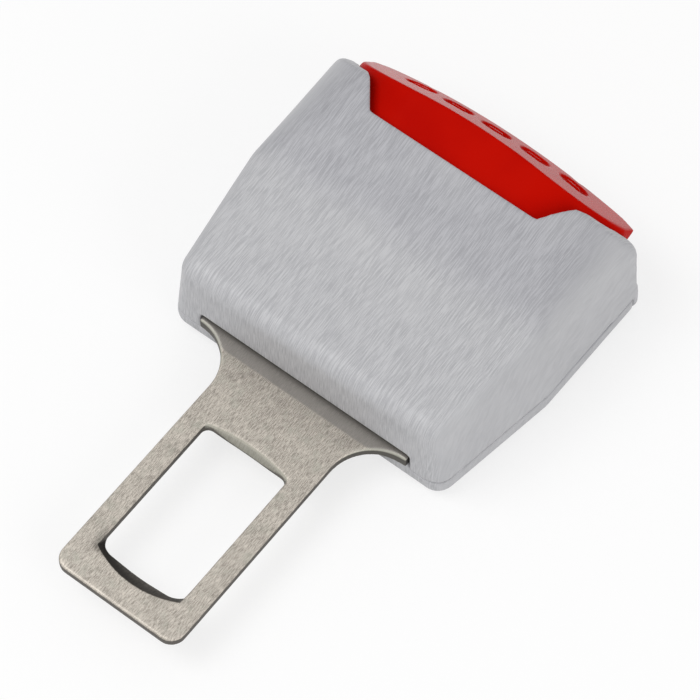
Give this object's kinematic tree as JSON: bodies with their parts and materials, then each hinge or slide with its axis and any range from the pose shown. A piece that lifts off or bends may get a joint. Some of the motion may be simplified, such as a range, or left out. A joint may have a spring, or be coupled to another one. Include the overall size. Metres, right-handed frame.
{
  "type": "seat belt extender",
  "caption": "Seat belt extender with a steel tongue at one end and a release-button buckle in a moulded casing at the other.",
  "frame": {"origin": "middle of the extender's outline, on the plane of its back", "axes": "+X across, +Y from the tongue towards the button end, +Z out of the front face"},
  "size_m": [0.0564, 0.0914, 0.0242],
  "materials": {
    "shell_plastic": "fine lengthwise grain, satin",
    "button_plastic": "glossy red",
    "tongue_steel": "plated, finely mottled",
    "frame_steel": "zinc plated sheet",
    "latch_steel": "hardened sheet",
    "rivet_steel": "turned",
    "spring_steel": "drawn wire",
    "screw_steel": "blackened",
    "ejector_plastic": "natural moulded"
  },
  "bodies": {
    "housing": {"front_shell": "shell_plastic", "back_cover": "shell_plastic", "tongue_plate": "tongue_steel", "buckle_frame": "frame_steel", "frame_rivets": "rivet_steel", "latch_pivot_pin": "rivet_steel", "pivot_pin_clip": "spring_steel", "ejector_guide_rod": "rivet_steel", "ejector_spring": "spring_steel", "button_spring_left": "spring_steel", "button_spring_right": "spring_steel", "cover_screws": "screw_steel"},
    "button": {"press_button": "button_plastic"},
    "latch": {"latch_lever": "latch_steel", "latch_spring": "spring_steel"},
    "ejector": {"ejector_slide": "ejector_plastic"}
  },
  "joints": [
    {"name": "button_press", "type": "slide", "parent": "housing", "child": "button", "axis": [0, -0.9673, -0.2538], "range_m": [0, 0.004], "stiffness_N_per_m": 600, "springref_m": -0.003, "deforming": ["button_spring_left", "button_spring_right"]},
    {"name": "latch_swing", "type": "hinge", "parent": "housing", "child": "latch", "pos_m": [0, 0.0085, 0.0144], "axis": [1, 0, 0], "range_deg": [0, 11.5], "deforming": ["latch_spring"]},
    {"name": "ejector_push", "type": "slide", "parent": "housing", "child": "ejector", "axis": [0, -1, 0], "range_m": [0, 0.008], "stiffness_N_per_m": 250, "springref_m": -0.004, "deforming": ["ejector_spring"]}
  ],
  "couplings": [
    {"joint": "latch_swing", "follows": "button_press", "rad_per_m": 50.17}
  ]
}
